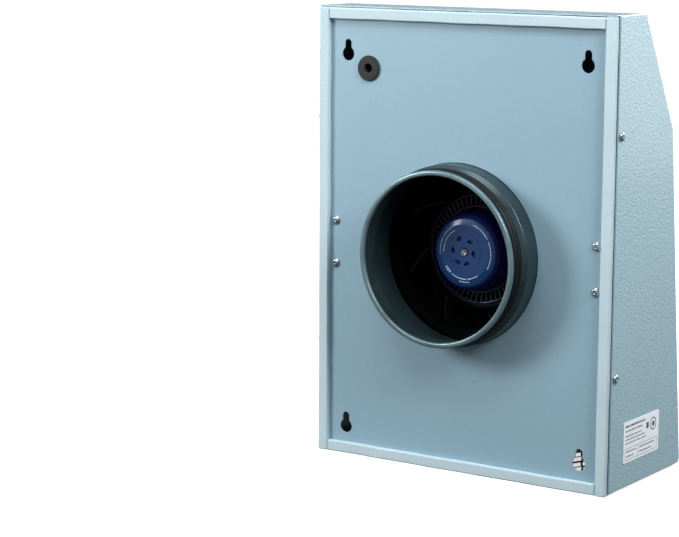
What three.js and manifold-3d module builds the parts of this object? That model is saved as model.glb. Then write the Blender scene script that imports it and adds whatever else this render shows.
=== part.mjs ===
// Wall-mounted exhaust blower: a sheet-metal hood over a rear tray, a duct spigot at the back,
// and an external-rotor motor with a backward-curved impeller on a bracket inside.
// Units are millimetres. +Z is up, the front faces -Y, and y = 0 is the wall plane that the foam gasket touches.
// The origin is the middle of the lower gasket strip on the wall plane. The fan's axis is parallel to Y.
import * as THREE from 'three';
import { mergeVertices } from 'three/addons/utils/BufferGeometryUtils.js';
import Module from 'manifold-3d';

const wasm = await Module();
wasm.setup();

// ---------------------------------------------------------------- driving dimensions
const HOOD_WIDTH = 292;          // outside of the side panels
const HOOD_BOTTOM = -3;
const HOOD_TOP = 391;
const KNEE_Z = 293;              // bend between shoulder and front
const TOP_DEPTH = 50;            // from the wall plane to the front edge of the top
const KNEE_DEPTH = 105;
const BOTTOM_DEPTH = 138;
const HOOD_BACK = -4.8;          // rear edge of the hood
const SHEET = 1.2;
const SEAM = 1.5;                // open seam between the front sheet and a side panel
const FLANGE_BACK = -20;         // the hood's inner flanges start in front of the tray

const TRAY_HALF = 144.3;
const TRAY_BOTTOM = -5;
const TRAY_TOP = 389.4;
const PANEL_Y = -5;              // outer face of the back panel
const GASKET = 10;               // width of the foam strips
const GAP = 0.3;
const TRAY_FLANGE = 18;

const FAN_X = 4;
const FAN_Z = 184;
const SPIGOT_R = 75.2;           // rolled rim, for a 6 in duct
const COLLAR_R = 78;
const SPIGOT_END = 32.3;

const KEYHOLE_X = 117;
const KEYHOLE_Z = [18.8, 349.6];
const KEYHOLE_R = 6;
const KEYHOLE_SLOT = 6.6;
const KEYHOLE_RISE = 9.4;

const BRACKET_HALF = 121;
const BRACKET_Z = [154, 214];
const BRACKET_FRONT = -86;
const BRACKET_SHEET = 2;
const RIVET_X = 128.6;
const RIVET_Z = [165, 203];

const IMPELLER_R = 97.5;
const BLADES = 8;
const VANES = 56;

const HOOD_SCREW_Y = -9.4;
const HOOD_SCREW_Z = [94, 293.6];
const MOTOR_SCREW_R = 33;

const BOX_HALF = 38;
const BOX_Z = [300, 352];
const BOX_FRONT = -44;

const RING = 36;                 // facets of the large rings
const MID = 24;
const SMALL = 10;

// ---------------------------------------------------------------- solid tools
// Merged, outward-facing triangle mesh with position only.
function clean(geometry) {
  const g = geometry.clone();
  for (const name of Object.keys(g.attributes)) if (name !== 'position') g.deleteAttribute(name);
  const m = mergeVertices(g, 1e-4);
  const src = m.index.array;
  let idx = [];
  for (let i = 0; i < src.length; i += 3) {
    const [a, b, c] = [src[i], src[i + 1], src[i + 2]];
    if (a !== b && b !== c && a !== c) idx.push(a, b, c);
  }
  const p = m.attributes.position;
  const va = new THREE.Vector3(), vb = new THREE.Vector3(), vc = new THREE.Vector3();
  let volume = 0;
  for (let i = 0; i < idx.length; i += 3) {
    va.fromBufferAttribute(p, idx[i]);
    vb.fromBufferAttribute(p, idx[i + 1]);
    vc.fromBufferAttribute(p, idx[i + 2]);
    volume += va.dot(vb.cross(vc));
  }
  if (volume < 0) for (let i = 0; i < idx.length; i += 3) [idx[i + 1], idx[i + 2]] = [idx[i + 2], idx[i + 1]];
  const out = new THREE.BufferGeometry();
  out.setAttribute('position', new THREE.BufferAttribute(new Float32Array(p.array), 3));
  out.setIndex(idx);
  return out;
}

function solid(geometry) {
  const g = clean(geometry);
  return new wasm.Manifold(new wasm.Mesh({
    numProp: 3,
    vertProperties: new Float32Array(g.attributes.position.array),
    triVerts: new Uint32Array(g.index.array),
  }));
}

function geometryOf(manifold) {
  const mesh = manifold.getMesh();
  const g = new THREE.BufferGeometry();
  g.setAttribute('position', new THREE.BufferAttribute(new Float32Array(mesh.vertProperties), 3));
  g.setIndex(new THREE.BufferAttribute(new Uint32Array(mesh.triVerts), 1));
  g.computeVertexNormals();
  return g;
}

const join = (...parts) => parts.reduce((a, b) => a.add(b));
const cut = (body, ...tools) => tools.reduce((a, b) => a.subtract(b), body);

// Box from its lowest to its highest corner.
function box(x0, x1, y0, y1, z0, z1) {
  const g = new THREE.BoxGeometry(x1 - x0, y1 - y0, z1 - z0);
  g.translate((x0 + x1) / 2, (y0 + y1) / 2, (z0 + z1) / 2);
  return solid(g);
}

// Round bar between two positions on an axis.
function bar(axis, r, lo, hi, a, b, seg = SMALL) {
  const g = new THREE.CylinderGeometry(r, r, hi - lo, seg);
  const mid = (lo + hi) / 2;
  if (axis === 'y') g.translate(a, mid, b);
  if (axis === 'x') { g.rotateZ(Math.PI / 2); g.translate(mid, a, b); }
  if (axis === 'z') { g.rotateX(Math.PI / 2); g.translate(a, b, mid); }
  return solid(g);
}

// Body of revolution round the Y direction; the profile is a list of [radius, y].
function turned(profile, seg = MID) {
  const pts = profile.map(([r, y]) => new THREE.Vector2(r, y));
  if (profile[0][0] !== 0) pts.push(pts[0].clone());
  return new THREE.LatheGeometry(pts, seg);
}
const onFanAxis = (geometry) => geometry.translate(FAN_X, 0, FAN_Z);

// Prism of a polygon in the YZ plane, from x0 to x1.
function prismX(points, x0, x1) {
  const shape = new THREE.Shape(points.map(([y, z]) => new THREE.Vector2(y, z)));
  const g = new THREE.ExtrudeGeometry(shape, { depth: x1 - x0, bevelEnabled: false });
  // (u, v, w) -> (x = w, y = u, z = v)
  g.applyMatrix4(new THREE.Matrix4().set(0, 0, 1, x0, 1, 0, 0, 0, 0, 1, 0, 0, 0, 0, 0, 1));
  return g;
}

// Prism of a polygon in the XZ plane, from y0 to y1.
function prismY(points, y0, y1) {
  const shape = new THREE.Shape(points.map(([x, z]) => new THREE.Vector2(x, z)));
  const g = new THREE.ExtrudeGeometry(shape, { depth: y1 - y0, bevelEnabled: false });
  // (u, v, w) -> (x = u, y = y1 - w, z = v)
  g.applyMatrix4(new THREE.Matrix4().set(1, 0, 0, 0, 0, 0, -1, y1, 0, 1, 0, 0, 0, 0, 0, 1));
  return g;
}

// Polyline in the YZ plane moved towards its inner side by d, with mitred corners.
function inset(points, d) {
  const normals = [];
  for (let i = 0; i < points.length - 1; i++) {
    const dy = points[i + 1][0] - points[i][0], dz = points[i + 1][1] - points[i][1];
    const l = Math.hypot(dy, dz);
    normals.push([-dz / l, dy / l]);
  }
  return points.map((p, i) => {
    const a = normals[Math.max(0, i - 1)], b = normals[Math.min(normals.length - 1, i)];
    const k = 1 + a[0] * b[0] + a[1] * b[1];
    return [p[0] + (a[0] + b[0]) * d / k, p[1] + (a[1] + b[1]) * d / k];
  });
}

// Bent sheet: the strip between two insets of one polyline.
function bentSheet(points, d0, d1, x0, x1) {
  return solid(prismX([...inset(points, d0), ...inset(points, d1).reverse()], x0, x1));
}

// ---------------------------------------------------------------- materials
const mat = (color, roughness, metalness) => new THREE.MeshStandardMaterial({ color, roughness, metalness });
const PAINT = mat(0x9cc0cd, 0.45, 0.2);
const TRAY_PAINT = mat(0x96b8c6, 0.45, 0.2);
const SPIGOT_GREY = mat(0x66767a, 0.45, 0.5);
const RUBBER = mat(0x17191a, 0.8, 0.0);
const FOAM = mat(0xb9cbd3, 0.8, 0.0);
const BLUE = mat(0x2f4f86, 0.4, 0.2);
const DARK_BLUE = mat(0x2b3558, 0.5, 0.4);
const ZINC = mat(0xb9bfc2, 0.35, 0.9);
const STEEL = mat(0x9aa0a3, 0.4, 0.9);
const COPPER = mat(0xa4552a, 0.4, 0.8);
const BLACK = mat(0x1b1d1f, 0.6, 0.0);
const GREY = mat(0xa7adb0, 0.6, 0.0);
const LABEL = mat(0xe6ecee, 0.5, 0.0);
const ALU = mat(0xb4b8bb, 0.45, 0.8);

const blower = new THREE.Group();
blower.name = 'wall_exhaust_blower';
const stationary = new THREE.Group();
const rotor = new THREE.Group();
const hood = new THREE.Group();
blower.add(stationary, rotor, hood);

function piece(group, name, shape, material) {
  const geometry = shape.getMesh ? geometryOf(shape) : clean(shape);
  const mesh = new THREE.Mesh(geometry, material);
  mesh.name = name;
  group.add(mesh);
  return mesh;
}

// ---------------------------------------------------------------- rear tray
const keyhole = (x, z) => join(
  bar('y', KEYHOLE_R, -7, -4, x, z, 20),
  box(x - KEYHOLE_SLOT / 2, x + KEYHOLE_SLOT / 2, -7, -4, z, z + KEYHOLE_RISE),
  bar('y', KEYHOLE_SLOT / 2, -7, -4, x, z + KEYHOLE_RISE, 12),
);
const flangeNotch = (side, z) => join(
  box(side < 0 ? -146 : 141, side < 0 ? -141 : 146, -19, HOOD_SCREW_Y, z - 2.7, z + 2.7),
  bar('x', 2.7, side < 0 ? -146 : 141, side < 0 ? -141 : 146, HOOD_SCREW_Y, z, 12),
);
let tray = cut(
  box(-TRAY_HALF, TRAY_HALF, -TRAY_FLANGE, PANEL_Y, TRAY_BOTTOM, TRAY_TOP),
  box(-TRAY_HALF + SHEET, TRAY_HALF - SHEET, -TRAY_FLANGE - 1, PANEL_Y - SHEET, TRAY_BOTTOM + SHEET, TRAY_TOP - SHEET),
);
tray = cut(tray, bar('y', COLLAR_R + 0.4, -8, -4, FAN_X, FAN_Z, RING), bar('y', 9, -8, -4, 95, 338, 20));
for (const x of [-KEYHOLE_X, KEYHOLE_X]) for (const z of KEYHOLE_Z) tray = tray.subtract(keyhole(x, z));
for (const x of [-RIVET_X, RIVET_X]) for (const z of RIVET_Z) tray = tray.subtract(bar('y', 2.5, -8, -4, x, z));
for (const s of [-1, 1]) for (const z of HOOD_SCREW_Z) tray = tray.subtract(flangeNotch(s, z));
piece(stationary, 'rear_tray', tray, TRAY_PAINT);

// Foam gasket strips on the back panel: the upright ones run full height, the level ones between them.
const strip = (name, x0, x1, z0, z1) => piece(stationary, name, box(x0, x1, PANEL_Y + GAP, 0, z0, z1), FOAM);
strip('gasket_left', -TRAY_HALF, -TRAY_HALF + GASKET, TRAY_BOTTOM, TRAY_TOP);
strip('gasket_right', TRAY_HALF - GASKET, TRAY_HALF, TRAY_BOTTOM, TRAY_TOP);
strip('gasket_bottom', -TRAY_HALF + GASKET + GAP, TRAY_HALF - GASKET - GAP, TRAY_BOTTOM, TRAY_BOTTOM + GASKET);
strip('gasket_top', -TRAY_HALF + GASKET + GAP, TRAY_HALF - GASKET - GAP, TRAY_TOP - GASKET, TRAY_TOP);

// ---------------------------------------------------------------- duct connection
piece(stationary, 'duct_spigot', onFanAxis(turned([
  [76.8, -17], [COLLAR_R, -17], [COLLAR_R, -7.9], [88, -7.9], [88, -6.6], [COLLAR_R, -6.6],
  [COLLAR_R, 11], [72.6, 14.5], [72.6, 27], [SPIGOT_R, 28], [SPIGOT_R, 31], [74.2, SPIGOT_END], [71.4, SPIGOT_END],
  [70.6, 31], [71.4, 27], [71.4, 13.5], [76.8, 10],
], RING)), SPIGOT_GREY);
piece(stationary, 'duct_seal', onFanAxis(turned([
  [72.9, 15.4], [75, 15.4], [76, 19], [74.4, 20.5], [76, 24], [75, 26.4], [72.9, 26.4],
], RING)), RUBBER);
piece(stationary, 'inlet_nozzle', onFanAxis(turned([
  [78.4, -11], [79.6, -11], [79.6, -18.7], [74.6, -19.6], [70, -23], [67.4, -30], [66.2, -30],
  [68.6, -22.6], [73.5, -18.4], [78.4, -17.4],
], RING)), BLACK);

// ---------------------------------------------------------------- motor bracket and rivets
let bracket = join(
  box(-BRACKET_HALF, BRACKET_HALF, BRACKET_FRONT, BRACKET_FRONT + BRACKET_SHEET, ...BRACKET_Z),
  box(-BRACKET_HALF, -BRACKET_HALF + BRACKET_SHEET, BRACKET_FRONT, -6.5, ...BRACKET_Z),
  box(BRACKET_HALF - BRACKET_SHEET, BRACKET_HALF, BRACKET_FRONT, -6.5, ...BRACKET_Z),
  box(-139, -BRACKET_HALF + BRACKET_SHEET, -8.5, -6.5, ...BRACKET_Z),
  box(BRACKET_HALF - BRACKET_SHEET, 139, -8.5, -6.5, ...BRACKET_Z),
);
const motorScrewAt = [45, 135, 225, 315].map((d) => [
  FAN_X + MOTOR_SCREW_R * Math.cos(d * Math.PI / 180), FAN_Z + MOTOR_SCREW_R * Math.sin(d * Math.PI / 180)]);
for (const [x, z] of motorScrewAt) bracket = bracket.subtract(bar('y', 2.4, -90, -80, x, z));
bracket = bracket.subtract(bar('y', 5, -90, -80, FAN_X, FAN_Z + 18));
for (const x of [-RIVET_X, RIVET_X]) for (const z of RIVET_Z) bracket = bracket.subtract(bar('y', 2.5, -10, -5, x, z));
piece(stationary, 'motor_bracket', bracket, ZINC);

let n = 0;
for (const x of [-RIVET_X, RIVET_X]) for (const z of RIVET_Z) {
  const rivet = piece(stationary, `bracket_rivet_${++n}`, turned([
    [0, -2.4], [2.3, -2.7], [3.9, -3.9], [4.1, -4.7], [2.1, -4.7], [2.1, -8.9], [3.4, -8.9], [3, -10.2], [0, -10.6],
  ], SMALL), ZINC);
  rivet.position.set(x, 0, z);
}

// ---------------------------------------------------------------- motor, fixed half
let flange = solid(onFanAxis(turned([
  [8.3, -23], [12, -23], [12, -66], [35, -66], [35, -69.5], [26, -71.5], [26, -79.5], [40, -79.5], [40, -83.7], [8.3, -83.7],
], MID)));
for (const [x, z] of motorScrewAt) flange = flange.subtract(bar('y', 2.4, -90, -78, x, z));
flange = flange.subtract(bar('y', 3.4, -90, -80.5, FAN_X, FAN_Z + 18));
piece(stationary, 'stator_flange', flange, ALU);
piece(stationary, 'stator_core', onFanAxis(turned([[12.4, -33], [26.4, -33], [26.4, -55], [12.4, -55]], 24)), STEEL);
piece(stationary, 'winding_head_rear', onFanAxis(turned([[14, -32.6], [15, -25], [23, -25], [24.4, -28], [24.4, -32.6]], 24)), COPPER);
piece(stationary, 'winding_head_front', onFanAxis(turned([[14, -55.4], [24.4, -55.4], [24.4, -61], [23, -64], [15, -64]], 24)), COPPER);
piece(stationary, 'bearing_rear', onFanAxis(turned([[3.6, -24], [8, -24], [8, -30], [3.6, -30]], 20)), STEEL);
piece(stationary, 'bearing_front', onFanAxis(turned([[3.6, -70], [8, -70], [8, -76], [3.6, -76]], 20)), STEEL);
motorScrewAt.forEach(([x, z], i) => {
  piece(stationary, `motor_screw_${i + 1}`, turned([
    [0, -88.7], [3.4, -88.7], [4, -87.7], [4, -86.3], [2, -86.3], [2, -80.6], [0, -80.6],
  ], SMALL), ZINC).position.set(x, 0, z);
});

// ---------------------------------------------------------------- motor, turning half
piece(rotor, 'rotor_can', onFanAxis(turned([
  [3.6, -17], [24, -17.2], [29.5, -18.6], [32.6, -22], [34, -27], [36, -38], [36, -62], [32.6, -62],
  [32.6, -30], [30.4, -23.6], [26, -20.6], [3.6, -20.4],
], 36)), BLUE);
piece(rotor, 'rotor_cage', onFanAxis(turned([[27, -31], [32.2, -31], [32.2, -58], [27, -58]], MID)), STEEL);
piece(rotor, 'motor_shaft', onFanAxis(turned([
  [0, -17], [1.2, -16.2], [3.2, -16.2], [3.2, -79], [0, -79],
], 16)), STEEL);
piece(rotor, 'shaft_circlip', onFanAxis(turned([[3.5, -77], [6, -77], [6, -78.2], [3.5, -78.2]], 16)), STEEL);

let vaneRing = solid(onFanAxis(turned([[36.4, -40], [48, -40], [48, -50], [36.4, -50]], 56)));
for (let i = 0; i < VANES; i++) {
  const g = new THREE.BoxGeometry(7.6, 12, 2.5);
  g.translate(42.1, -45, 0);
  g.rotateY(i * 2 * Math.PI / VANES + Math.PI / VANES);
  vaneRing = vaneRing.subtract(solid(onFanAxis(g)));
}
piece(rotor, 'cooling_vane_ring', vaneRing, DARK_BLUE);

// Impeller: domed back plate, backward-curved blades and a shroud, moulded in one.
const dome = solid(turned([
  [48.5, -41.6], [51, -42.2], [57, -50], [62, -64], [68, -71], [76, -72.6], [IMPELLER_R, -72.6], [IMPELLER_R, -74.2],
  [75.6, -74.2], [66.8, -72.4], [60.4, -65], [55.5, -51], [50, -44], [48.5, -43.6],
], RING));
const shroud = solid(turned([
  [70.6, -26], [72, -26], [74, -31.4], [80, -36.4], [IMPELLER_R, -41], [IMPELLER_R, -42.6], [79.4, -38.1], [72.6, -32.6], [70.6, -27],
], RING));
const passage = solid(turned([
  [56.2, -50.8], [71.4, -30], [73.2, -32], [79.7, -37.2], [IMPELLER_R - 0.4, -41.8], [IMPELLER_R - 0.4, -73.4],
  [75.8, -73.4], [67.4, -71.7], [61.2, -64.5],
], RING));
let blades = null;
for (let i = 0; i < BLADES; i++) {
  const start = i * 2 * Math.PI / BLADES;
  const mid = [];
  for (let k = 0; k <= 4; k++) {
    const t = k / 4, r = 54 + 44 * t, a = start - 0.95 * Math.pow(t, 0.9);
    mid.push([r * Math.cos(a), r * Math.sin(a)]);
  }
  const left = [], right = [];
  mid.forEach((p, k) => {
    const a = mid[Math.max(0, k - 1)], b = mid[Math.min(mid.length - 1, k + 1)];
    const l = Math.hypot(b[0] - a[0], b[1] - a[1]);
    const nx = -(b[1] - a[1]) / l, nz = (b[0] - a[0]) / l;
    left.push([p[0] + nx * 0.8, p[1] + nz * 0.8]);
    right.push([p[0] - nx * 0.8, p[1] - nz * 0.8]);
  });
  const blade = solid(prismY([...left, ...right.reverse()], -76, -28));
  blades = blades ? blades.add(blade) : blade;
}
const wheel = join(dome, shroud, blades.intersect(passage));
piece(rotor, 'impeller', onFanAxis(geometryOf(wheel)), BLACK);

// ---------------------------------------------------------------- wiring
let terminalBox = cut(
  box(-BOX_HALF, BOX_HALF, BOX_FRONT, -6.6, ...BOX_Z),
  box(-BOX_HALF + SHEET, BOX_HALF - SHEET, BOX_FRONT - 1, -6.6 - SHEET, BOX_Z[0] + SHEET, BOX_Z[1] - SHEET),
);
for (const s of [-1, 1]) {
  terminalBox = terminalBox.add(box(s < 0 ? -37.4 : 30, s < 0 ? -30 : 37.4, BOX_FRONT, -7, 322, 330));
  terminalBox = terminalBox.subtract(bar('y', 1.9, BOX_FRONT - 1, -30, s * 33.4, 326));
}
terminalBox = cut(terminalBox, bar('z', 5, 296, 304, 0, -30), bar('x', 8, 30, 42, -20, 341, 16));
piece(stationary, 'terminal_box', terminalBox, ZINC);
let lid = box(-38.6, 38.6, -45.8, -44.4, 299.4, 352.6);
for (const s of [-1, 1]) lid = lid.subtract(bar('y', 1.9, -47, -43, s * 33.4, 326));
piece(stationary, 'terminal_box_lid', lid, ZINC);
[-1, 1].forEach((s, i) => {
  piece(stationary, `lid_screw_${i + 1}`, turned([
    [0, -48.2], [2.6, -48.2], [3.1, -47.2], [3.1, -46.1], [1.5, -46.1], [1.5, -34], [0, -34],
  ], 10), ZINC).position.set(s * 33.4, 0, 326);
});
let block = box(-22, 22, -17, -8.1, 316, 332);
for (const x of [-22, -12.4, -2.8, 6.8, 16.4]) block = block.add(box(x, x + 5.6, -22, -16.9, 316, 332));
piece(stationary, 'terminal_block', block, GREY);
piece(stationary, 'capacitor', turned([[0, 0], [14, 0], [14, 52], [12.5, 54], [6, 54], [6, 58], [0, 58]], 20)
  .rotateZ(-Math.PI / 2).translate(52, -24.5, 310), GREY);
piece(stationary, 'capacitor_clip', cut(
  join(bar('x', 15.7, 72, 84, -24.5, 310, 24), box(72, 84, -11.2, -6.6, 303, 317), box(72, 84, -8.1, -6.6, 294, 317)),
  bar('x', 14.4, 70, 86, -24.5, 310, 24),
), ZINC);
const route = new THREE.CatmullRomCurve3([
  [4, -81.6, 202], [4, -86, 202], [4, -91, 203.5], [4, -95.5, 209], [4, -97, 220], [4, -97, 240], [4, -96.5, 260], [3.4, -92, 278],
  [2.4, -81, 287], [1.4, -66, 289], [0.6, -50, 288.6], [0.1, -38, 289.4], [0, -31.6, 293], [0, -30, 297.5], [0, -30, 301], [0, -30, 304.5],
].map((p) => new THREE.Vector3(...p)));
const leadSection = new THREE.Shape(Array.from({ length: 8 }, (_, i) => new THREE.Vector2(
  2.5 * Math.cos(i * Math.PI / 4), 2.5 * Math.sin(i * Math.PI / 4))));
piece(stationary, 'motor_lead', new THREE.ExtrudeGeometry(leadSection, { steps: 32, extrudePath: route, bevelEnabled: false }), BLACK);
piece(stationary, 'lead_bush', turned([[3.3, -2.8], [6.6, -2.8], [7, -0.4], [4.6, -0.4], [4.6, 2.6], [3.3, 2.6]], 16)
  .rotateX(Math.PI / 2).translate(0, -30, 300), RUBBER);
piece(stationary, 'cable_grommet', turned([
  [4, -2.9], [10.6, -2.9], [11.4, -4.6], [8.6, -4.6], [8.6, -6.6], [11.4, -6.6], [10.6, -8.4], [4, -8.4],
], 20).translate(95, 0, 338), RUBBER);

// ---------------------------------------------------------------- hood
const outline = [[HOOD_BACK, HOOD_TOP], [-TOP_DEPTH, HOOD_TOP], [-KNEE_DEPTH, KNEE_Z], [-BOTTOM_DEPTH, HOOD_BOTTOM]];
const frontHalf = HOOD_WIDTH / 2 - SHEET - SEAM;
piece(hood, 'hood_front', bentSheet([...outline, [-120, HOOD_BOTTOM]], 0, SHEET, -frontHalf, frontHalf), PAINT);

function hoodSide(s) {
  const xo = HOOD_WIDTH / 2, xi = xo - SHEET;
  const order = (a, b) => (s < 0 ? [-b, -a] : [a, b]);
  let side = solid(prismX([...outline, [HOOD_BACK, HOOD_BOTTOM]], ...order(xi, xo)));
  const flanges = [[FLANGE_BACK, HOOD_TOP], ...outline.slice(1), [FLANGE_BACK, HOOD_BOTTOM]];
  side = side.add(bentSheet(flanges, 1.5, 1.5 + SHEET, ...order(130, xi + 0.5)));
  for (const z of HOOD_SCREW_Z) side = side.subtract(bar('x', 2.4, ...order(140, 150), HOOD_SCREW_Y, z));
  for (const y of [-40, -110]) side = side.subtract(bar('z', 1.9, -5, 3, s * 136, y));
  return side;
}
piece(hood, 'hood_side_left', hoodSide(-1), PAINT);
piece(hood, 'hood_side_right', hoodSide(1), PAINT);

n = 0;
for (const s of [-1, 1]) for (const z of HOOD_SCREW_Z) {
  n += 1;
  const screw = piece(hood, `hood_screw_${n}`, turned([
    [0, 148.9], [2, 148.6], [3.6, 147.4], [3.9, 146.3], [2, 146.3], [2, 139.4], [0, 139.4],
  ], SMALL), ZINC);
  screw.rotation.z = s < 0 ? Math.PI / 2 : -Math.PI / 2;
  screw.position.set(0, HOOD_SCREW_Y, z);
  const hex = new THREE.CylinderGeometry(3.1, 3.1, 2.6, 6).rotateZ(Math.PI / 2).translate(s * 141.3, HOOD_SCREW_Y, z);
  const nut = solid(hex).subtract(bar('x', 2.3, s * 141.3 - 3, s * 141.3 + 3, HOOD_SCREW_Y, z));
  piece(hood, `hood_nut_${n}`, nut, ZINC);
}

// Outlet guard on the inner bottom flanges: a frame with a diamond mesh of strands.
const GUARD = { x: 132, y0: -123, y1: -30 };  // opening inside the frame
const DIAMOND_X = 16.5, DIAMOND_Y = 31;
let strands = null;
const strandAngle = Math.atan2(DIAMOND_X, DIAMOND_Y);
for (const s of [-1, 1]) for (let k = -11; k <= 11; k++) {
  const g = new THREE.BoxGeometry(2, 150, 1.2);
  g.rotateZ(-s * strandAngle);
  g.translate(k * DIAMOND_X, (GUARD.y0 + GUARD.y1) / 2, 0.8);
  strands = strands ? strands.add(solid(g)) : solid(g);
}
let guard = cut(box(-140, 140, -131, -22, 0, 1.6), box(-GUARD.x, GUARD.x, GUARD.y0, GUARD.y1, -1, 3));
guard = guard.add(strands.intersect(box(-GUARD.x - 1, GUARD.x + 1, GUARD.y0 - 1, GUARD.y1 + 1, -1, 3)));
for (const s of [-1, 1]) for (const y of [-40, -110]) guard = guard.subtract(bar('z', 1.9, -1, 3, s * 136, y));
piece(hood, 'outlet_guard', guard, ZINC);
n = 0;
for (const s of [-1, 1]) for (const y of [-40, -110]) {
  const screw = piece(hood, `guard_screw_${++n}`, turned([
    [0, -3.9], [2.6, -3.9], [3.1, -3], [3.1, -1.9], [1.5, -1.9], [1.5, 4.6], [0, 4.6],
  ], 10), ZINC);
  screw.rotation.x = Math.PI / 2;
  screw.position.set(s * 136, y, 0);
}

// Labels: three on the sloping front, one on the left side.
const slope = Math.atan2(BOTTOM_DEPTH - KNEE_DEPTH, KNEE_Z - HOOD_BOTTOM);
const frontY = (z) => -KNEE_DEPTH - (KNEE_Z - z) * Math.tan(slope);
[['label_airflow', 271.2], ['label_notice_upper', 232.8], ['label_notice_lower', 193.6]].forEach(([name, z]) => {
  const label = piece(hood, name, new THREE.BoxGeometry(67.4, 0.25, 34.4), LABEL);
  label.rotation.x = -slope;
  label.position.set(-7.4, frontY(z) - 0.43 * Math.cos(slope), z + 0.43 * Math.sin(slope));
});
piece(hood, 'rating_label', new THREE.BoxGeometry(0.25, 65.2, 35), LABEL).position.set(-146.43, -60.6, 35.4);

export default blower;
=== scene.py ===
"""Wall-mounted exhaust blower, seen from behind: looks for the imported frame."""
import math

import bpy
import bmesh
import numpy as np
from mathutils import Matrix, Vector
from mathutils.geometry import delaunay_2d_cdt


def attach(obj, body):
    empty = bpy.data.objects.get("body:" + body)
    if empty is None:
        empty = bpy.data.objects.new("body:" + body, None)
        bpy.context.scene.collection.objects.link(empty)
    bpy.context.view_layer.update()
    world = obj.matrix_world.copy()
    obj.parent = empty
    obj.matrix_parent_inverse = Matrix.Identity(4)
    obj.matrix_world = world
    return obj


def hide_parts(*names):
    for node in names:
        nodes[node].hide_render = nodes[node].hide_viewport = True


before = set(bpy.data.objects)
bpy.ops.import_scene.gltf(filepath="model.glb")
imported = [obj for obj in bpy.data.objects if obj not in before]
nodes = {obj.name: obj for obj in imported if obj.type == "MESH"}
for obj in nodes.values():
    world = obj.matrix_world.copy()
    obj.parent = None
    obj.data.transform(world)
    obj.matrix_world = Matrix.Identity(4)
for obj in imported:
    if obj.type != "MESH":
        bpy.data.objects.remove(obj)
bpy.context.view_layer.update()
scene = bpy.context.scene
MM = 0.001

# ---------------------------------------------------------------- camera
cam_data = bpy.data.cameras.new("camera")
cam_data.sensor_fit = "HORIZONTAL"
cam_data.sensor_width = 36.0
cam_data.lens = 116.18
cam_data.clip_start = 0.05
cam_data.clip_end = 100.0
cam = bpy.data.objects.new("camera", cam_data)
scene.collection.objects.link(cam)
az, el, roll = math.radians(214.272), math.radians(9.43), math.radians(0.326)
back = Vector((math.sin(az) * math.cos(el), -math.cos(az) * math.cos(el), math.sin(el)))
right0 = (-back).cross(Vector((0, 0, 1))).normalized()
up0 = right0.cross(-back)
right = math.cos(roll) * right0 + math.sin(roll) * up0
up = -math.sin(roll) * right0 + math.cos(roll) * up0
cam.matrix_world = Matrix((
    (right.x, up.x, back.x, -0.950142),
    (right.y, up.y, back.y, 1.572683),
    (right.z, up.z, back.z, 0.477078),
    (0, 0, 0, 1),
))
scene.camera = cam
scene.view_settings.view_transform = "Standard"
scene.view_settings.look = "None"

# ---------------------------------------------------------------- dimensions, in millimetres
HALF = 146.0
SHEET = 1.2
TOP, BOTTOM = 391.0, -3.0
HOOD_BACK = -4.8
OUTLINE = [(HOOD_BACK, TOP), (-50, TOP), (-105, 293), (-138, BOTTOM), (HOOD_BACK, BOTTOM)]
TRAY = 144.3
TRAY_Z = (-5.0, 389.4)
FAN = (4.0, 184.0)
SLOPE = math.atan2(33, 296)


def srgb(r, g, b):
    out = []
    for c in (r, g, b):
        c /= 255.0
        out.append(c / 12.92 if c <= 0.04045 else ((c + 0.055) / 1.055) ** 2.4)
    return out


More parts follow.
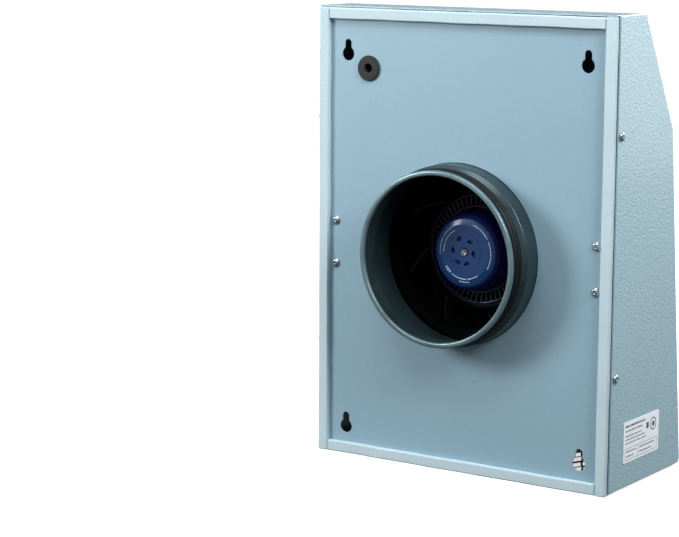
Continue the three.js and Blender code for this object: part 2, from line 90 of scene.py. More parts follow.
# ---------------------------------------------------------------- materials
class Mat:
    """One node-based material; every pattern lies in the object's own coordinates."""

    def __init__(self, name, rough=0.5, metal=0.0, coat=0.0, coat_rough=0.1, spec=0.5):
        self.m = bpy.data.materials.new(name)
        self.m.use_nodes = True
        self.nt = self.m.node_tree
        self.b = next(n for n in self.nt.nodes if n.type == "BSDF_PRINCIPLED")
        self.b.inputs["Roughness"].default_value = rough
        self.b.inputs["Metallic"].default_value = metal
        self.b.inputs["Coat Weight"].default_value = coat
        self.b.inputs["Coat Roughness"].default_value = coat_rough
        self.b.inputs["Specular IOR Level"].default_value = spec
        self.tex = self.node("ShaderNodeTexCoord").outputs["Object"]

    def node(self, kind, **props):
        n = self.nt.nodes.new(kind)
        for k, v in props.items():
            setattr(n, k, v)
        return n

    def link(self, a, b):
        self.nt.links.new(a, b)

    def mapped(self, scale=(1, 1, 1)):
        n = self.node("ShaderNodeMapping")
        n.inputs["Scale"].default_value = scale
        self.link(self.tex, n.inputs["Vector"])
        return n.outputs["Vector"]

    def noise(self, scale, detail=3.0, rough=0.55, distortion=0.0, vector=None):
        n = self.node("ShaderNodeTexNoise")
        n.inputs["Scale"].default_value = scale
        n.inputs["Detail"].default_value = detail
        n.inputs["Roughness"].default_value = rough
        n.inputs["Distortion"].default_value = distortion
        self.link(vector if vector is not None else self.tex, n.inputs["Vector"])
        return n.outputs["Fac"]

    def voronoi(self, scale, feature="SMOOTH_F1", smooth=0.6, vector=None, out="Distance"):
        n = self.node("ShaderNodeTexVoronoi", feature=feature)
        n.inputs["Scale"].default_value = scale
        if feature == "SMOOTH_F1":
            n.inputs["Smoothness"].default_value = smooth
        self.link(vector if vector is not None else self.tex, n.inputs["Vector"])
        return n.outputs[out]

    def ramp(self, fac, stops, interpolation="LINEAR"):
        n = self.node("ShaderNodeValToRGB")
        n.color_ramp.interpolation = interpolation
        while len(n.color_ramp.elements) < len(stops):
            n.color_ramp.elements.new(0.5)
        for e, (p, c) in zip(n.color_ramp.elements, stops):
            e.position = p
            e.color = (*c, 1.0) if len(c) == 3 else c
        self.link(fac, n.inputs["Fac"])
        return n.outputs["Color"]

    def grey(self, fac, lo, hi, a=0.3, b=0.7):
        return self.ramp(fac, [(a, (lo, lo, lo)), (b, (hi, hi, hi))])

    def math(self, op, a, b=None, clamp=False):
        n = self.node("ShaderNodeMath", operation=op, use_clamp=clamp)
        for i, v in enumerate((a, b)):
            if v is None:
                continue
            if isinstance(v, (int, float)):
                n.inputs[i].default_value = v
            else:
                self.link(v, n.inputs[i])
        return n.outputs["Value"]

    def mix(self, fac, a, b, mode="MIX"):
        n = self.node("ShaderNodeMix", data_type="RGBA", blend_type=mode)
        for key, v in ((0, fac), (6, a), (7, b)):
            if isinstance(v, (int, float)):
                n.inputs[key].default_value = v
            elif isinstance(v, (list, tuple)):
                n.inputs[key].default_value = (*v, 1.0)
            else:
                self.link(v, n.inputs[key])
        return n.outputs[2]

    def xyz(self):
        n = self.node("ShaderNodeSeparateXYZ")
        self.link(self.tex, n.inputs[0])
        return n.outputs

    def radius(self, cx, cz):
        """Distance from the fan axis, in metres."""
        x, _, z = self.xyz()[:]
        dx = self.math("SUBTRACT", x, cx * MM)
        dz = self.math("SUBTRACT", z, cz * MM)
        return self.math("SQRT", self.math("ADD", self.math("MULTIPLY", dx, dx), self.math("MULTIPLY", dz, dz)))

    def color(self, c):
        if isinstance(c, (list, tuple)):
            self.b.inputs["Base Color"].default_value = (*c, 1.0)
        else:
            self.link(c, self.b.inputs["Base Color"])

    def rough(self, r):
        self.link(r, self.b.inputs["Roughness"])

    def bump(self, layers):
        """layers: (height, distance in metres, strength), each on top of the last."""
        prev = None
        for h, dist, strength in layers:
            n = self.node("ShaderNodeBump")
            n.inputs["Distance"].default_value = dist
            n.inputs["Strength"].default_value = strength
            self.link(h, n.inputs["Height"])
            if prev is not None:
                self.link(prev, n.inputs["Normal"])
            prev = n.outputs["Normal"]
        self.link(prev, self.b.inputs["Normal"])


def shade(c, k):
    return [v * k for v in c]


def paint(name, base, grain, depth, strength, rough=0.36, coat=0.25, spec=0.5):
    """Baked hammertone or smooth powder paint: rounded dimples and faint mottle."""
    m = Mat(name, rough=rough, metal=0.0, coat=coat, coat_rough=0.14, spec=spec)
    pits = m.voronoi(grain, smooth=0.5)
    swell = m.noise(grain * 0.85, detail=2.0, rough=0.5, distortion=0.6)
    fine = m.noise(grain * 2.6, detail=2.0)
    broad = m.noise(9.0, detail=2.0)
    mottle = m.ramp(m.noise(grain * 0.8, detail=3.0), [(0.3, shade(base, 0.93)), (0.7, shade(base, 1.05))])
    tone = m.mix(0.5, mottle, m.ramp(broad, [(0.3, shade(base, 0.96)), (0.7, shade(base, 1.03))]))
    m.color(tone)
    m.rough(m.grey(m.noise(grain * 0.6), rough - 0.05, rough + 0.09))
    m.bump([(swell, depth * 0.7, strength * 0.8), (pits, depth, strength), (fine, depth * 0.2, strength * 0.5)])
    return m.m


PAINT = srgb(149, 180, 191)
M_HAMMER = paint("hammertone", PAINT, 480.0, 0.00044, 0.68, rough=0.27, coat=0.6)
M_TRAY = paint("tray_finish", srgb(138, 170, 187), 620.0, 0.00012, 0.35, rough=0.42, coat=0.15)


def foam(name):
    m = Mat(name, rough=0.85, spec=0.25)
    pores = m.voronoi(1500.0, feature="F1")
    cells = m.noise(700.0, detail=4.0)
    m.color(m.mix(0.5, m.ramp(cells, [(0.3, srgb(172, 196, 205)), (0.72, srgb(198, 217, 225))]),
                  m.ramp(m.noise(22.0), [(0.3, srgb(180, 202, 211)), (0.7, srgb(191, 212, 220))])))
    m.bump([(m.noise(60.0, detail=2.0), 0.0004, 0.35), (pores, 0.00005, 0.35)])
    return m.m


M_FOAM = foam("gasket_foam")


def metal(name, base, rough=0.34, metallic=0.9, spangle=0.0, streak=None, spec=0.5):
    m = Mat(name, rough=rough, metal=metallic, spec=spec)
    v = m.mapped(streak) if streak else None
    grain = m.noise(260.0, detail=4.0, vector=v)
    tone = m.ramp(grain, [(0.3, shade(base, 0.86)), (0.7, shade(base, 1.08))])
    if spangle:
        cells = m.voronoi(140.0, feature="F1", out="Color")
        tone = m.mix(spangle, tone, m.mix(1.0, tone, cells, mode="MULTIPLY"))
    m.color(tone)
    m.rough(m.grey(m.noise(120.0, detail=3.0, vector=v), max(rough - 0.08, 0.05), rough + 0.14))
    m.bump([(grain, 0.00006, 0.3)])
    return m.m


M_GALV = metal("galvanised_sheet", srgb(176, 182, 184), rough=0.36, spangle=0.18)
M_ZINC = metal("zinc_fastener", srgb(186, 203, 210), rough=0.2, metallic=0.95)
M_STEEL = metal("bright_steel", srgb(188, 192, 194), rough=0.22)
M_CORE = metal("core_steel", srgb(118, 122, 124), rough=0.42, streak=(1, 40, 1))
M_COPPER = metal("winding_copper", srgb(176, 92, 50), rough=0.35, streak=(30, 6, 30))
M_ALU = metal("cast_aluminium", srgb(172, 176, 178), rough=0.46, metallic=0.85)


def turned_metal(name, base, edge, rough=0.36, metallic=0.75, rim_highlight=None, rim_y=28.9):
    """Spun sheet: faint rings round the fan axis and slight staining; a rim tone, when given, lightens the rolled rim
    as a painted highlight.
    """
    m = Mat(name, rough=rough, metal=metallic)
    rad = m.radius(*FAN)
    x, y, z = m.xyz()[:]
    comb = m.node("ShaderNodeCombineXYZ")
    m.link(m.math("MULTIPLY", rad, 900.0), comb.inputs[0])
    m.link(m.math("MULTIPLY", y, 900.0), comb.inputs[1])
    rings = m.noise(1.0, detail=3.0, vector=comb.outputs[0])
    stain = m.noise(34.0, detail=4.0)
    tone = m.mix(0.45, m.ramp(rings, [(0.3, shade(base, 0.86)), (0.7, shade(base, 1.12))]),
                 m.ramp(stain, [(0.3, shade(base, 0.8)), (0.75, shade(edge, 1.0))]))
    # painted highlight: past the rim height the rolled rim takes the lighter rim tone
    if rim_highlight:
        k = m.math("MULTIPLY", m.math("SUBTRACT", y, rim_y * MM), 1200.0, clamp=True)
        tone = m.mix(k, tone, m.ramp(stain, [(0.3, shade(rim_highlight, 0.85)), (0.7, shade(rim_highlight, 1.1))]))
    m.color(tone)
    m.rough(m.grey(stain, rough - 0.06, rough + 0.12))
    m.bump([(rings, 0.00005, 0.35)])
    return m.m


# the lighter rim colour is a painted highlight on the rolled rim
M_SPIGOT = turned_metal("spigot_grey", srgb(50, 69, 75), srgb(66, 88, 95), rough=0.3, metallic=0.5, rim_highlight=srgb(112, 138, 145))


def rubber(name, base, rough=0.55, spec=0.4):
    m = Mat(name, rough=rough, spec=spec)
    g = m.noise(420.0, detail=3.0)
    m.color(m.ramp(g, [(0.3, shade(base, 0.75)), (0.7, shade(base, 1.3))]))
    m.rough(m.grey(m.noise(70.0), rough - 0.08, rough + 0.14))
    m.bump([(g, 0.00004, 0.35)])
    return m.m


M_SEAL = rubber("seal_rubber", srgb(7, 16, 21), 0.5, spec=0.25)
M_RUBBER = rubber("black_rubber", srgb(28, 30, 32), 0.6)
# black plastic, drawn darker and almost without gloss as painted shade for the duct's interior
M_PLASTIC = rubber("black_plastic", srgb(3, 4, 5), 0.7, spec=0.03)
# dark impeller plastic, drawn darker still as painted shade deep in the duct
M_IMPELLER = rubber("impeller_plastic", srgb(12, 20, 25), 0.36)
M_LEAD = rubber("lead_sheath", srgb(30, 31, 33), 0.5)
M_GREY = rubber("terminal_plastic", srgb(186, 190, 190), 0.45)
M_CAP = rubber("capacitor_plastic", srgb(198, 200, 196), 0.4)


def enamel(name, base, rough=0.34, metallic=0.25, face=None, split=None, coat=0.3):
    """Painted casting; face is a second tone in front of the y value split."""
    m = Mat(name, rough=rough, metal=metallic, coat=coat, coat_rough=0.12)
    g = m.noise(300.0, detail=4.0)
    tone = m.ramp(g, [(0.3, shade(base, 0.86)), (0.7, shade(base, 1.12))])
    if face:
        y = m.xyz()[1]
        k = m.math("MULTIPLY", m.math("SUBTRACT", y, split * MM), 600.0, clamp=True)
        tone = m.mix(k, tone, m.ramp(g, [(0.3, shade(face, 0.9)), (0.7, shade(face, 1.1))]))
    m.color(tone)
    m.rough(m.grey(m.noise(60.0), rough - 0.06, rough + 0.1))
    m.bump([(m.noise(800.0, detail=2.0), 0.00006, 0.4)])
    return m.m


M_ROTOR = enamel("rotor_blue", srgb(40, 40, 124), face=srgb(14, 62, 118), coat=0.28, rough=0.44, split=-20.5)
# dark blue vane paint, drawn darker still as painted shade inside the duct
M_VANE = enamel("vane_blue", srgb(18, 18, 48), rough=0.34, coat=0.3)
M_DIMPLE = rubber("dimple_shadow", srgb(10, 32, 78), 0.7, spec=0.1)


def film(name, base, rough=0.4):
    m = Mat(name, rough=rough, spec=0.45)
    g = m.noise(160.0, detail=3.0)
    m.color(m.ramp(g, [(0.3, shade(base, 0.96)), (0.7, shade(base, 1.02))]))
    m.rough(m.grey(m.noise(40.0), rough - 0.05, rough + 0.1))
    m.bump([(m.noise(900.0), 0.00003, 0.25)])
    return m.m


M_LABEL = film("label_film", srgb(226, 234, 240))
M_INK = film("label_ink", srgb(72, 84, 96), 0.5)
M_INK_DARK = film("label_ink_dark", srgb(30, 34, 40), 0.5)
M_MARK = film("rotor_print", srgb(204, 232, 255), 0.5)


# ---------------------------------------------------------------- mesh tools
def rounded(points, closed=True, n=4):
    """Polyline of (a, b[, radius]) with each corner turned into an arc of n steps."""
    out, N = [], len(points)
    for i, p in enumerate(points):
        a = np.array(p[:2], float)
        r = p[2] if len(p) > 2 else 0.0
        if r <= 0 or (not closed and i in (0, N - 1)):
            out.append((a[0], a[1]))
            continue
        u = np.array(points[i - 1][:2], float) - a
        v = np.array(points[(i + 1) % N][:2], float) - a
        lu, lv = np.linalg.norm(u), np.linalg.norm(v)
        u, v = u / lu, v / lv
        ang = math.acos(max(-1.0, min(1.0, float(u @ v))))
        if ang > math.pi - 1e-3:
            out.append((a[0], a[1]))
            continue
        t = min(r / math.tan(ang / 2), lu * 0.49, lv * 0.49)
        r2 = t * math.tan(ang / 2)
        c = a + (u + v) / np.linalg.norm(u + v) * (r2 / math.sin(ang / 2))
        p0, p1 = a + u * t - c, a + v * t - c
        a0, a1 = math.atan2(p0[1], p0[0]), math.atan2(p1[1], p1[0])
        d = (a1 - a0 + math.pi) % (2 * math.pi) - math.pi
        for k in range(n + 1):
            th = a0 + d * k / n
            out.append((c[0] + r2 * math.cos(th), c[1] + r2 * math.sin(th)))
    return out


class Shape:
    """Vertices in millimetres and faces, gathered from several closed parts."""

    def __init__(self):
        self.v, self.f = [], []

    def add(self, verts, faces):
        k = len(self.v)
        self.v += [tuple(float(c) for c in p) for p in verts]
        self.f += [tuple(i + k for i in f) for f in faces]
        return self

    def loft(self, sections, ring=True, closed=False, caps=True):
        m, n = len(sections[0]), len(sections)
        verts = [p for s in sections for p in s]
        faces = []
        for i in range(n if closed else n - 1):
            j = (i + 1) % n
            for k in range(m if ring else m - 1):
                q = (k + 1) % m
                faces.append((i * m + k, i * m + q, j * m + q, j * m + k))
        if caps and not closed:
            faces.append(tuple(range(m - 1, -1, -1)))
            faces.append(tuple((n - 1) * m + k for k in range(m)))
        return self.add(verts, faces)

    def lathe(self, profile, seg=96, centre=FAN, n=4):
        """profile: (radius, y[, fillet]) round an axis parallel to Y; it closes on itself or starts and ends at radius 0."""
        closed = profile[0][0] > 0
        pts = rounded(profile, closed=closed, n=n)
        m = len(pts)
        verts, faces = [], []
        for i in range(seg):
            a = 2 * math.pi * i / seg
            c, s = math.cos(a), math.sin(a)
            verts += [(centre[0] + r * c, y, centre[1] + r * s) for r, y in pts]
        for i in range(seg):
            j = (i + 1) % seg
            for k in range(m if closed else m - 1):
                q = (k + 1) % m
                faces.append((i * m + k, i * m + q, j * m + q, j * m + k))
        return self.add(verts, faces)

    def map(self, fn):
        self.v = [tuple(fn(*p)) for p in self.v]
        return self


def area(loop):
    return 0.5 * sum(loop[i - 1][0] * loop[i][1] - loop[i][0] * loop[i - 1][1] for i in range(len(loop)))


def offset(loop, d):
    """Closed loop moved to its left by d with mitred corners."""
    n = len(loop)
    out = []
    for i in range(n):
        p0, p1, p2 = np.array(loop[i - 1]), np.array(loop[i]), np.array(loop[(i + 1) % n])
        a, b = p1 - p0, p2 - p1
        a, b = a / (np.linalg.norm(a) + 1e-12), b / (np.linalg.norm(b) + 1e-12)
        na, nb = np.array((-a[1], a[0])), np.array((-b[1], b[0]))
        k = max(0.35, 1 + float(na @ nb))
        q = p1 + (na + nb) * d / k
        out.append((q[0], q[1]))
    return out


def inside(p, loop):
    hit = False
    for i in range(len(loop)):
        (x0, y0), (x1, y1) = loop[i - 1], loop[i]
        if (y0 > p[1]) != (y1 > p[1]) and p[0] < (x1 - x0) * (p[1] - y0) / (y1 - y0) + x0:
            hit = not hit
    return hit


def fill(outer, holes):
    """Triangles of a region with holes: (points, triangles)."""
    pts, edges = [], []
    for loop in [outer, *holes]:
        k = len(pts)
        pts += [Vector(p) for p in loop]
        edges += [(k + i, k + (i + 1) % len(loop)) for i in range(len(loop))]
    v, _, f, *_ = delaunay_2d_cdt(pts, edges, [], 0, 1e-6)
    tris = []
    for t in f:
        c = sum((v[i] for i in t), Vector((0, 0))) / len(t)
        if inside(c, outer) and not any(inside(c, h) for h in holes):
            tris.append(tuple(t))
    return v, tris


def plate(shape, outer, holes, w0, w1, r, place, n=3):
    """Flat plate between heights w0 and w1 with edges rounded by r; place(u, v, w) puts it in space."""
    loops = [outer if area(outer) > 0 else outer[::-1]] + [h if area(h) < 0 else h[::-1] for h in holes]
    for top in (False, True):
        ins = [offset(l, r) for l in loops]
        v, tris = fill(ins[0], ins[1:])
        w = w1 if top else w0
        shape.add([place(p[0], p[1], w) for p in v], tris)
    steps = [(r * (1 - math.sin(t)), r * (1 - math.cos(t))) for t in [math.pi / 2 * k / n for k in range(n + 1)]]
    for l in loops:
        rows = []
        for ins_d, dw in steps[::-1]:
            rows.append([place(p[0], p[1], w0 + (r - dw) * 0 + r * (1 - math.sin(math.acos(max(-1, min(1, 1 - ins_d / r)))) if r else 0)) for p in offset(l, ins_d)])
        rows = []
        for k in range(n + 1):
            t = math.pi / 2 * k / n
            rows.append([place(p[0], p[1], w0 + r * (1 - math.cos(t))) for p in offset(l, r * (1 - math.sin(t)))])
        for k in range(n + 1):
            t = math.pi / 2 * (1 - k / n)
            rows.append([place(p[0], p[1], w1 - r * (1 - math.cos(t))) for p in offset(l, r * (1 - math.sin(t)))])
        shape.loft(rows, caps=False)
    return shape


def circle(x, z, r, n=48, a0=0.0):
    return [(x + r * math.cos(a0 + 2 * math.pi * i / n), z + r * math.sin(a0 + 2 * math.pi * i / n)) for i in range(n)]


def rect(u0, u1, v0, v1, r=0.0, n=4):
    return rounded([(u0, v0, r), (u1, v0, r), (u1, v1, r), (u0, v1, r)], n=n)


XZ = lambda u, v, w: (u, w, v)


def make(name, shape, mat, body, replace=(), angle=38, mats=None, face_mat=None):
    me = bpy.data.meshes.new(name)
    me.from_pydata([(x * MM, y * MM, z * MM) for x, y, z in shape.v], [], shape.f)
    bm = bmesh.new()
    bm.from_mesh(me)
    bmesh.ops.remove_doubles(bm, verts=bm.verts, dist=2e-6)
    bmesh.ops.dissolve_degenerate(bm, edges=bm.edges, dist=1e-7)
    bmesh.ops.recalc_face_normals(bm, faces=bm.faces)
    bm.to_mesh(me)
    bm.free()
    for p in me.polygons:
        p.use_smooth = True
    me.set_sharp_from_angle(angle=math.radians(angle))
    for m in mats or [mat]:
        me.materials.append(m)
    if face_mat:
        for p in me.polygons:
            p.material_index = face_mat(p.center / MM)
    ob = bpy.data.objects.new(name, me)
    scene.collection.objects.link(ob)
    wn = ob.modifiers.new("normals", "WEIGHTED_NORMAL")
    wn.keep_sharp = True
    wn.weight = 80
    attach(ob, body)
    if replace:
        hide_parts(*replace)
    return ob


# ---------------------------------------------------------------- rear tray
def keyhole(x, z, r=6.0, half=3.3, rise=9.4):
    t = math.asin(half / r)
    pts = [(x + r * math.sin(a), z + r * math.cos(a)) for a in np.linspace(t, 2 * math.pi - t, 33)]
    pts += [(x + half * math.sin(a), z + rise + half * math.cos(a)) for a in np.linspace(-math.pi / 2, math.pi / 2, 13)]
    return pts


tray = Shape()
z0, z1 = TRAY_Z


def tray_loop(inset, radius):
    return rect(-TRAY + inset, TRAY - inset, z0 + inset, z1 - inset, radius, n=5)


holes = [circle(*FAN, 78.4, 128), circle(95, 338, 9, 40)]
holes += [keyhole(x, z) for x in (-117, 117) for z in (18.8, 349.6)]
R_OUT, R_IN = 2.2, 1.0
front_loop = tray_loop(R_OUT, 0.8)
for w, loop in ((-5.0, front_loop), (-6.2, front_loop)):
    rims = [offset(h if area(h) < 0 else h[::-1], 0.3) for h in holes]
    v, tris = fill(loop, rims)
    tray.add([(p[0], w, p[1]) for p in v], tris)
for h in holes:
    h = h if area(h) < 0 else h[::-1]
    rows = []
    for d, w in ((0.3, -5.0), (0.09, -5.09), (0.0, -5.3), (0.0, -5.9), (0.09, -6.11), (0.3, -6.2)):
        rows.append([(p[0], w, p[1]) for p in offset(h, d)])
    tray.loft(rows, caps=False)
rows = []
for k in range(7):
    t = math.pi / 2 * k / 6
    rows.append((R_OUT * (1 - math.sin(t)), -5.0 - R_OUT * (1 - math.cos(t)), 0.8 + 1.8 * math.sin(t)))
rows += [(0.0, -17.6, 2.6), (0.12, -17.88, 2.5), (0.4, -18.0, 2.3), (0.8, -18.0, 2.0), (1.08, -17.88, 1.8), (1.2, -17.6, 1.7)]
for k in range(5):
    t = math.pi / 2 * (1 - k / 4)
    rows.append((1.2 + R_IN * (1 - math.sin(t)), -6.2 - R_IN * (1 - math.cos(t)), 0.8 + 0.6 * math.sin(t)))
tray.loft([[(p[0], y, p[1]) for p in tray_loop(i, r)] for i, y, r in rows], caps=False)
ob = make("tray_sheet", tray, M_TRAY, "casing", ("rear_tray",))

# open-ended notches in the side flanges for the hood screws
notch = Shape()
for s in (-1, 1):
    for z in (94.0, 293.6):
        sec = [(-19.0, z - 2.7), (-9.4, z - 2.7)] + [
            (-9.4 + 2.7 * math.sin(a), z - 2.7 * math.cos(a)) for a in np.linspace(0.2, math.pi - 0.2, 9)] + [
            (-9.4, z + 2.7), (-19.0, z + 2.7)]
        notch.loft([[(s * x, y, zz) for y, zz in sec] for x in (141.5, 146.0)])
me = bpy.data.meshes.new("notch")
me.from_pydata([(x * MM, y * MM, z * MM) for x, y, z in notch.v], [], notch.f)
bm = bmesh.new()
bm.from_mesh(me)
bmesh.ops.recalc_face_normals(bm, faces=bm.faces)
bm.to_mesh(me)
bm.free()
cutter = bpy.data.objects.new("notch", me)
scene.collection.objects.link(cutter)
mod = ob.modifiers.new("cut", "BOOLEAN")
mod.operation, mod.object, mod.solver = "DIFFERENCE", cutter, "EXACT"
ob.modifiers.move(1, 0)
dg = bpy.context.evaluated_depsgraph_get()
ob.modifiers["normals"].show_viewport = False
dg.update()
cut_mesh = bpy.data.meshes.new_from_object(ob.evaluated_get(dg))
ob.modifiers.remove(ob.modifiers["cut"])
ob.modifiers["normals"].show_viewport = True
ob.data = cut_mesh
for p in ob.data.polygons:
    p.use_smooth = True
ob.data.set_sharp_from_angle(angle=math.radians(38))
bpy.data.objects.remove(cutter)


# ---------------------------------------------------------------- foam gasket
def wave(t, seed):
    return 0.5 + 0.25 * math.sin(t * 0.043 + seed) + 0.25 * math.sin(t * 0.113 + 2.1 * seed)


def gasket(name, u0, u1, t0, t1, along, seed):
    """Strip of section u0..u1 by y -4.7..0, from t0 to t1; a real tape is slightly uneven."""
    g = Shape()
    n = max(12, int((t1 - t0) / 6))
    ts = [t0, t0 + 0.15, t0 + 0.5] + [t0 + 1.2 + (t1 - t0 - 2.4) * k / n for k in range(n + 1)] + [t1 - 0.5, t1 - 0.15, t1]
    rows = []
    for t in ts:
        e = min(t - t0, t1 - t)
        shrink = 0.5 * max(0.0, 1 - e / 0.8) ** 2
        a = 0.35 * wave(t, seed) + shrink
        b = 0.3 * wave(t, seed + 1.7) + shrink
        h = 0.28 * wave(t, seed + 3.1) + shrink
        sec = rounded([(u0 + a, -4.7, 0.3), (u1 - b, -4.7, 0.3), (u1 - b * 1.3, -h, 1.25), (u0 + a * 1.3, -h, 1.25)], n=5)
        rows.append([(u, y, t) if along == "z" else (t, y, u) for u, y in sec])
    g.loft(rows)
    return make("strip_" + name, g, M_FOAM, "casing", (name,), angle=50)


gasket("gasket_left", -TRAY, -TRAY + 10, z0, z1, "z", 0.4)
gasket("gasket_right", TRAY - 10, TRAY, z0, z1, "z", 2.2)
gasket("gasket_bottom", z0, z0 + 10, -TRAY + 10.4, TRAY - 10.4, "x", 4.0)
gasket("gasket_top", z1 - 10, z1, -TRAY + 10.4, TRAY - 10.4, "x", 5.1)

# ---------------------------------------------------------------- duct connection
make("spigot_shell", Shape().lathe([
    (76.8, -17, 0.3), (78, -17, 0.3), (78, -7.9, 0.8), (88, -7.9, 0.4), (88, -6.6, 0.4), (79.4, -6.6, 0.9), (78, -5.2, 0.5),
    (78, 11, 1.4), (73.2, 14.4, 0.8), (72.6, 15.2, 0.4), (72.6, 27, 0.6), (75.2, 27.6, 1.6), (75.2, 31.6, 2.2),
    (73.6, 32.3, 1.4), (71.2, 32.3, 1.2), (70.6, 30.4, 1.6), (71.4, 27, 2), (71.4, 13.5, 2), (76.8, 10, 2),
], seg=192, n=5), M_SPIGOT, "casing", ("duct_spigot",))
make("seal_band", Shape().lathe([
    (72.9, 15.6, 0.2), (74.9, 15.6, 0.5), (75.1, 18.0, 0.4), (76, 18.5, 0.2), (76, 19.3, 0.3), (74.8, 20.4, 0.5),
    (74.8, 22.9, 0.5), (76, 23.4, 0.2), (76, 24.2, 0.3), (74.9, 25.4, 0.4), (74.9, 26.4, 0.4), (72.9, 26.4, 0.2),
], seg=160, n=3), M_SEAL, "casing", ("duct_seal",))
make("nozzle_ring", Shape().lathe([
    (78.4, -11, 0.2), (79.6, -11, 0.2), (79.6, -18.7, 1.2), (74.6, -19.6, 3), (70, -23, 5), (67.4, -30, 0.4),
    (66.2, -30, 0.4), (68.6, -22.6, 6), (73.5, -18.4, 4), (78.4, -17.4, 1.2),
], seg=128, n=5), M_PLASTIC, "casing", ("inlet_nozzle",))

# ---------------------------------------------------------------- motor bracket
path = [(-139, -7.5), (-120, -7.5, 3), (-120, -85, 3.4), (120, -85, 3.4), (120, -7.5, 3), (139, -7.5)]


def ribbon(path, half, n=6):
    mid = rounded(path, closed=False, n=n)
    left, right_ = [], []
    for i, p in enumerate(mid):
        a = np.array(mid[max(0, i - 1)])
        b = np.array(mid[min(len(mid) - 1, i + 1)])
        d = b - a
        d /= np.linalg.norm(d)
        left.append((p[0] - d[1] * half, p[1] + d[0] * half))
        right_.append((p[0] + d[1] * half, p[1] - d[0] * half))
    return left + right_[::-1]


bracket = Shape()
rows = []
for z, sh in ((154, 0.3), (154.3, 0.0), (213.7, 0.0), (214, 0.3)):
    rows.append([(x, y, z) for x, y in ribbon(path, 1.0 - sh)])
bracket.loft(rows)
make("bracket_strip", bracket, M_GALV, "casing", ("motor_bracket",))


# ---------------------------------------------------------------- screws and rivets
def placed(shape, origin, axis):
    """Turns a shape made along +Y at the origin so that +Y points along axis."""
    rot = Vector((0, 1, 0)).rotation_difference(Vector(axis)).to_matrix()
    o = Vector(origin)
    return shape.map(lambda x, y, z: tuple(o + rot @ Vector((x, y, z))))


def screw_shape(head_r, head_h, shank_r, shank_l, cross=True, seg=48, turn=0.3):
    """Pan head with a cross recess, base at y = 0, pointing to +Y."""
    s = Shape()
    radii = [head_r * k / 12 for k in range(13)]
    verts, faces = [(0, 0, 0)], []
    L, W = head_r * 0.56, head_r * 0.13

    def height(x, z):
        r = math.hypot(x, z) / head_r
        y = head_h * (0.42 + 0.58 * math.sqrt(max(0.0, 1 - r ** 2.6)))
        if cross:
            m = max(min((L - abs(x)) / W, (W * 1.25 - abs(z)) / (W * 0.6)), min((L - abs(z)) / W, (W * 1.25 - abs(x)) / (W * 0.6)))
            y -= head_h * 0.55 * max(0.0, min(1.0, m))
        return y

    verts[0] = (0, height(0, 0), 0)
    for r in radii[1:]:
        for i in range(seg):
            a = 2 * math.pi * i / seg
            x, z = r * math.cos(a), r * math.sin(a)
            y = height(x, z)
            verts.append((x * math.cos(turn) - z * math.sin(turn), y, x * math.sin(turn) + z * math.cos(turn)))
    for i in range(seg):
        faces.append((0, 1 + i, 1 + (i + 1) % seg))
    for k in range(len(radii) - 2):
        for i in range(seg):
            a, b = 1 + k * seg + i, 1 + k * seg + (i + 1) % seg
            faces.append((a, a + seg, b + seg, b))
    base = len(verts)
    rings = [(head_r, head_h * 0.08), (head_r * 0.97, 0.0), (shank_r, 0.0), (shank_r, -shank_l + 0.4), (shank_r * 0.7, -shank_l)]
    for r, y in rings:
        for i in range(seg):
            a = 2 * math.pi * i / seg + turn
            verts.append((r * math.cos(a), y, r * math.sin(a)))
    last = base - seg
    for k in range(len(rings)):
        for i in range(seg):
            j = (i + 1) % seg
            faces.append((last + i, base + k * seg + i, base + k * seg + j, last + j))
        last = base + k * seg
    faces.append(tuple(last + i for i in range(seg)))
    return s.add(verts, faces)


n = 0
for s in (-1, 1):
    for z in (94.0, 293.6):
        n += 1
        make(f"side_screw_{n}", placed(screw_shape(3.8, 2.5, 2.0, 6.9, turn=0.5 + n), (s * 146.35, -9.4, z), (s, 0, 0)),
             M_ZINC, "hood", (f"hood_screw_{n}",))
n = 0
for s in (-1, 1):
    for y in (-40, -110):
        n += 1
        make(f"mesh_screw_{n}", placed(screw_shape(3.0, 1.9, 1.5, 6.5, turn=n), (s * 136, y, -1.95), (0, 0, -1)),
             M_ZINC, "hood", (f"guard_screw_{n}",))
for i, d in enumerate((45, 135, 225, 315)):
    x, z = FAN[0] + 33 * math.cos(math.radians(d)), FAN[1] + 33 * math.sin(math.radians(d))
    make(f"flange_screw_{i + 1}", placed(screw_shape(3.9, 2.35, 2.0, 5.7, turn=0.7 * i), (x, -86.3, z), (0, -1, 0)),
         M_ZINC, "casing", (f"motor_screw_{i + 1}",))
for i, s in enumerate((-1, 1)):
    make(f"cover_screw_{i + 1}", placed(screw_shape(3.0, 2.0, 1.5, 12, turn=0.4 * i), (s * 33.4, -46.15, 326), (0, -1, 0)),
         M_ZINC, "casing", (f"lid_screw_{i + 1}",))
n = 0
for x in (-128.6, 128.6):
    for z in (165, 203):
        n += 1
        make(f"blind_rivet_{n}", Shape().lathe([
            (0, -3.3), (1.0, -3.3, 0.2), (1.15, -2.5, 0.2), (2.4, -2.65, 0.6), (4.0, -4.2, 0.5), (4.05, -4.75, 0.2),
            (2.1, -4.75), (2.1, -8.9), (3.3, -8.9, 0.4), (3.0, -10.2, 0.8), (0, -10.6)], seg=40, centre=(x, z), n=3),
            M_ZINC, "casing", (f"bracket_rivet_{n}",))

